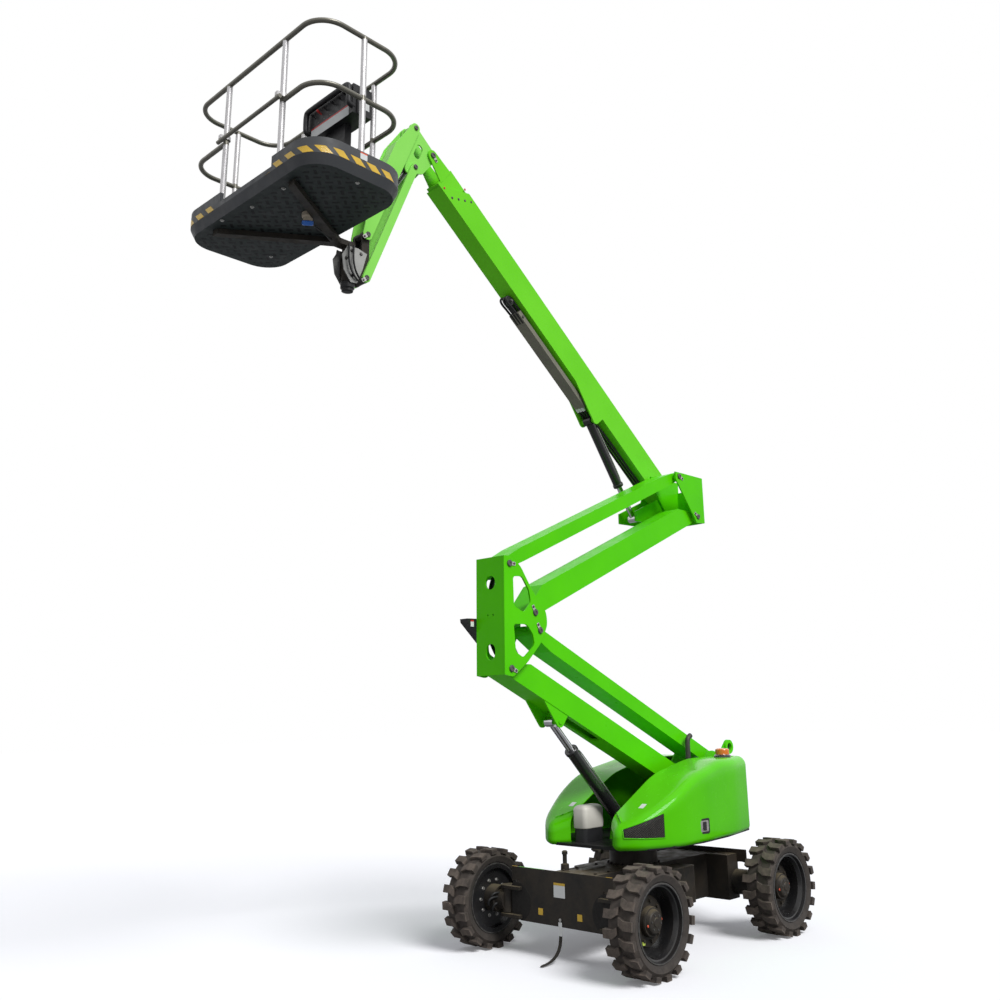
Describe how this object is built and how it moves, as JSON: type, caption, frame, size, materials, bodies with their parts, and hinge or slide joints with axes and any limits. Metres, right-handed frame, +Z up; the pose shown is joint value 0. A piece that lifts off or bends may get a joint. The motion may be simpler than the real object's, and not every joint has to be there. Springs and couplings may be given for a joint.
{
  "type": "articulating boom lift",
  "caption": "Wheeled articulating boom lift: a stacked double parallelogram riser, a telescopic upper boom with a jib, and a railed work basket over a turning base.",
  "frame": {"origin": "on the ground, under the axis on which the upper works turn", "axes": "+X forward towards the basket, +Y to the machine's left, +Z up"},
  "size_m": [5.362, 2.178, 6.8628],
  "materials": {
    "black_steel": "satin",
    "tyre_rubber": "dusty",
    "rim_black": "gloss",
    "green_paint": "gloss",
    "hood_green": "gloss",
    "pale_green_paint": "satin",
    "cast_iron": "rough",
    "white_plastic": "matte",
    "grey_steel": "rough",
    "amber_plastic": "clear",
    "black_plastic": "matte",
    "grey_plastic": "matte",
    "rail_paint": "satin",
    "chrome_rod": "polished"
  },
  "bodies": {
    "chassis": {"chassis_frame": "black_steel", "static_strap": "tyre_rubber"},
    "steer_left": {"steer_hub_left": "black_steel"},
    "steer_right": {"steer_hub_right": "black_steel"},
    "wheel_front_left": {"tyre_front_left": "tyre_rubber", "rim_front_left": "rim_black"},
    "wheel_front_right": {"tyre_front_right": "tyre_rubber", "rim_front_right": "rim_black"},
    "wheel_rear_left": {"tyre_rear_left": "tyre_rubber", "rim_rear_left": "rim_black"},
    "wheel_rear_right": {"tyre_rear_right": "tyre_rubber", "rim_rear_right": "rim_black"},
    "turret": {"turret_frame": "green_paint", "engine_block": "cast_iron", "fluid_tank": "white_plastic", "counterweight": "cast_iron"},
    "left_hood": {"hood_left": "hood_green", "exhaust_pipe": "grey_steel", "beacon": "amber_plastic"},
    "right_hood": {"hood_right": "hood_green"},
    "riser_barrel": {"riser_cylinder_barrel": "black_steel"},
    "riser_rod": {"riser_cylinder_rod": "chrome_rod"},
    "lower_main": {"link_one_main": "green_paint"},
    "lower_tie": {"link_one_tie": "green_paint"},
    "lower_knuckle": {"knuckle_one": "green_paint"},
    "upper_main": {"link_two_main": "green_paint"},
    "upper_tie": {"link_two_tie": "green_paint"},
    "upper_knuckle": {"knuckle_two": "green_paint"},
    "outer_boom": {"boom_outer": "pale_green_paint", "cable_tray": "black_plastic"},
    "inner_boom": {"boom_inner": "pale_green_paint"},
    "boom_barrel": {"boom_cylinder_barrel": "black_steel"},
    "boom_rod": {"boom_cylinder_rod": "chrome_rod"},
    "head": {"head_link": "pale_green_paint"},
    "jib": {"jib_arm": "pale_green_paint"},
    "jib_lower": {"jib_tie": "pale_green_paint"},
    "jib_mount": {"jib_end": "pale_green_paint"},
    "jib_barrel": {"jib_cylinder_barrel": "black_steel"},
    "jib_rod": {"jib_cylinder_rod": "chrome_rod"},
    "basket": {"basket_pan": "grey_plastic", "basket_rails": "rail_paint", "under_frame": "black_steel", "console": "black_plastic"},
    "entry_bar": {"drop_bar": "rail_paint"}
  },
  "joints": [
    {"name": "slew", "type": "hinge", "parent": "chassis", "child": "turret", "pos_m": [0, 0, 0.8], "axis": [0, 0, 1], "range_deg": [-180, 180]},
    {"name": "steer_left", "type": "hinge", "parent": "chassis", "child": "steer_left", "pos_m": [0.935, 0.6, 0.3865], "axis": [0, 0, 1], "range_deg": [-35, 35]},
    {"name": "steer_right", "type": "hinge", "parent": "chassis", "child": "steer_right", "pos_m": [0.935, -0.6, 0.3865], "axis": [0, 0, 1], "range_deg": [-35, 35]},
    {"name": "wheel_front_left", "type": "hinge", "parent": "steer_left", "child": "wheel_front_left", "pos_m": [0.935, 0.8605, 0.3865], "axis": [0, 1, 0], "continuous": true},
    {"name": "wheel_front_right", "type": "hinge", "parent": "steer_right", "child": "wheel_front_right", "pos_m": [0.935, -0.8605, 0.3865], "axis": [0, 1, 0], "continuous": true},
    {"name": "wheel_rear_left", "type": "hinge", "parent": "chassis", "child": "wheel_rear_left", "pos_m": [-0.935, 0.8605, 0.3865], "axis": [0, 1, 0], "continuous": true},
    {"name": "wheel_rear_right", "type": "hinge", "parent": "chassis", "child": "wheel_rear_right", "pos_m": [-0.935, -0.8605, 0.3865], "axis": [0, 1, 0], "continuous": true},
    {"name": "riser_raise", "type": "hinge", "parent": "turret", "child": "lower_main", "pos_m": [-0.804, 0, 1.121], "axis": [0, -1, 0], "range_deg": [-22, 38]},
    {"name": "lower_tie_swing", "type": "hinge", "parent": "turret", "child": "lower_tie", "pos_m": [-1.139, 0, 1.428], "axis": [0, -1, 0], "range_deg": [-22, 38]},
    {"name": "lower_knuckle_level", "type": "hinge", "parent": "lower_main", "child": "lower_knuckle", "pos_m": [1.63491, 0, 2.22221], "axis": [0, -1, 0], "range_deg": [-38, 22]},
    {"name": "upper_main_swing", "type": "hinge", "parent": "lower_knuckle", "child": "upper_main", "pos_m": [1.35391, 0, 2.67021], "axis": [0, 1, 0], "range_deg": [-22, 38]},
    {"name": "upper_tie_swing", "type": "hinge", "parent": "lower_knuckle", "child": "upper_tie", "pos_m": [1.64592, 0, 3.04421], "axis": [0, 1, 0], "range_deg": [-22, 38]},
    {"name": "upper_knuckle_level", "type": "hinge", "parent": "upper_main", "child": "upper_knuckle", "pos_m": [-1.085, 0, 3.77142], "axis": [0, -1, 0], "range_deg": [-22, 38]},
    {"name": "riser_barrel_swing", "type": "hinge", "parent": "turret", "child": "riser_barrel", "pos_m": [0.118, 0, 0.93], "axis": [0, -1, 0], "range_deg": [-28.34, 48.22]},
    {"name": "riser_rod_slide", "type": "slide", "parent": "riser_barrel", "child": "riser_rod", "axis": [0.7166, 0, 0.6975], "range_m": [-0.2792, 0.4808]},
    {"name": "boom_raise", "type": "hinge", "parent": "upper_knuckle", "child": "outer_boom", "pos_m": [-1.03, -0.275, 4.04042], "axis": [0, -1, 0], "range_deg": [-38, 36]},
    {"name": "telescope", "type": "slide", "parent": "outer_boom", "child": "inner_boom", "axis": [0.783, 0, 0.622], "range_m": [0, 2.6]},
    {"name": "head_level", "type": "hinge", "parent": "inner_boom", "child": "head", "pos_m": [2.17844, -0.275, 6.63485], "axis": [0, -1, 0], "range_deg": [-36, 38]},
    {"name": "boom_barrel_swing", "type": "hinge", "parent": "outer_boom", "child": "boom_barrel", "pos_m": [0.06701, -0.275, 4.64398], "axis": [0, -1, 0], "range_deg": [-3, 3]},
    {"name": "boom_rod_slide", "type": "slide", "parent": "boom_barrel", "child": "boom_rod", "axis": [-0.5812, 0, -0.8138], "range_m": [-0.3325, 0.3151]},
    {"name": "jib_raise", "type": "hinge", "parent": "head", "child": "jib", "pos_m": [2.38144, -0.275, 6.81386], "axis": [0, -1, 0], "range_deg": [-8, 70]},
    {"name": "jib_lower_swing", "type": "hinge", "parent": "head", "child": "jib_lower", "pos_m": [2.38144, -0.275, 6.43386], "axis": [0, -1, 0], "range_deg": [-8, 70]},
    {"name": "jib_mount_level", "type": "hinge", "parent": "jib", "child": "jib_mount", "pos_m": [2.86206, -0.275, 5.62428], "axis": [0, -1, 0], "range_deg": [-70, 8]},
    {"name": "jib_barrel_swing", "type": "hinge", "parent": "head", "child": "jib_barrel", "pos_m": [2.44044, -0.275, 6.39985], "axis": [0, -1, 0], "range_deg": [-11.02, 88.71]},
    {"name": "jib_rod_slide", "type": "slide", "parent": "jib_barrel", "child": "jib_rod", "axis": [0.5239, 0, -0.8518], "range_m": [-0.0485, 0.4089]},
    {"name": "basket_turn", "type": "hinge", "parent": "jib_mount", "child": "basket", "pos_m": [2.98506, -0.275, 5.52528], "axis": [0, 0, 1], "range_deg": [-90, 90]},
    {"name": "entry_bar_lift", "type": "slide", "parent": "basket", "child": "entry_bar", "axis": [0, 0, 1], "range_m": [0, 0.4]},
    {"name": "hood_left_lift", "type": "hinge", "parent": "turret", "child": "left_hood", "pos_m": [0, 0.204, 1.44], "axis": [1, 0, 0], "range_deg": [0, 45]},
    {"name": "hood_right_lift", "type": "hinge", "parent": "turret", "child": "right_hood", "pos_m": [0, -0.204, 1.44], "axis": [-1, 0, 0], "range_deg": [0, 45]}
  ],
  "couplings": [
    {"joint": "steer_right", "follows": "steer_left", "ratio": 1},
    {"joint": "lower_tie_swing", "follows": "riser_raise", "ratio": 1},
    {"joint": "lower_knuckle_level", "follows": "riser_raise", "ratio": -1},
    {"joint": "upper_main_swing", "follows": "riser_raise", "ratio": 1},
    {"joint": "upper_tie_swing", "follows": "riser_raise", "ratio": 1},
    {"joint": "upper_knuckle_level", "follows": "riser_raise", "ratio": 1},
    {"joint": "riser_barrel_swing", "follows": "riser_raise", "ratio": 1.2427},
    {"joint": "riser_rod_slide", "follows": "riser_raise", "m_per_rad": 0.72193},
    {"joint": "head_level", "follows": "boom_raise", "ratio": -1},
    {"joint": "boom_barrel_swing", "follows": "boom_raise", "ratio": 0.0287},
    {"joint": "boom_rod_slide", "follows": "boom_raise", "m_per_rad": 0.49829},
    {"joint": "jib_lower_swing", "follows": "jib_raise", "ratio": 1},
    {"joint": "jib_mount_level", "follows": "jib_raise", "ratio": -1},
    {"joint": "jib_barrel_swing", "follows": "jib_raise", "ratio": 1.253},
    {"joint": "jib_rod_slide", "follows": "jib_raise", "m_per_rad": 0.33305}
  ]
}
